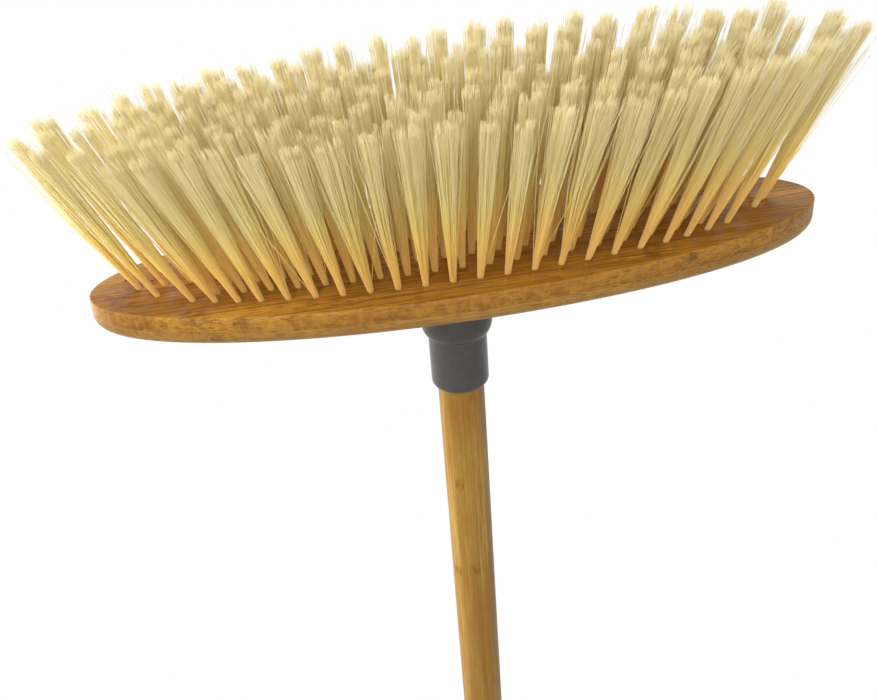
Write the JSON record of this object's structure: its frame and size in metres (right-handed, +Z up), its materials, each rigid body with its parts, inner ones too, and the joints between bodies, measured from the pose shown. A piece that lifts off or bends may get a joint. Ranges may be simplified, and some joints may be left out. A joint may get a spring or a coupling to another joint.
{
  "type": "broom",
  "caption": "Floor broom with an oval laminated bamboo head, rows of flared cream bristle tufts, a screw-down grey collar and a round bamboo handle with a hanging cap.",
  "frame": {"origin": "on the floor that the bristle tips stand on, under the handle's axis, which meets the middle of the oval head", "axes": "+Z up the handle from the bristle tips to the hanging eye, +X along the head's long axis, +Y across the head; the picture looks from the -Y side, from beside the tips towards the head"},
  "size_m": [0.382, 0.126, 1.3275],
  "materials": {
    "head_bamboo": "satin",
    "handle_bamboo": "satin",
    "cream_bristle": "matte",
    "grey_plastic": "satin",
    "zinc_steel": "satin"
  },
  "bodies": {
    "head": {"bristle_ply": "head_bamboo", "handle_ply": "head_bamboo", "bristle_row_1": "cream_bristle", "bristle_row_2": "cream_bristle", "bristle_row_3": "cream_bristle", "bristle_row_4": "cream_bristle", "bristle_row_5": "cream_bristle", "bristle_row_6": "cream_bristle", "bristle_row_7": "cream_bristle", "socket": "grey_plastic", "socket_screw_1": "zinc_steel", "socket_screw_2": "zinc_steel", "socket_screw_3": "zinc_steel"},
    "handle": {"handle": "handle_bamboo", "handle_end_bush": "grey_plastic", "bush_screw": "zinc_steel", "hanging_cap": "grey_plastic"},
    "collar": {"collar_nut": "grey_plastic"}
  },
  "joints": [
    {"name": "handle_draw", "type": "slide", "parent": "head", "child": "handle", "axis": [0, 0, 1], "range_m": [0, 0.017]},
    {"name": "collar_turn", "type": "hinge", "parent": "handle", "child": "collar", "pos_m": [0, 0, 0.13215], "axis": [0, 0, 1], "range_deg": [0, 1530]}
  ],
  "couplings": [
    {"joint": "collar_turn", "follows": "handle_draw", "rad_per_m": 1570.8}
  ]
}
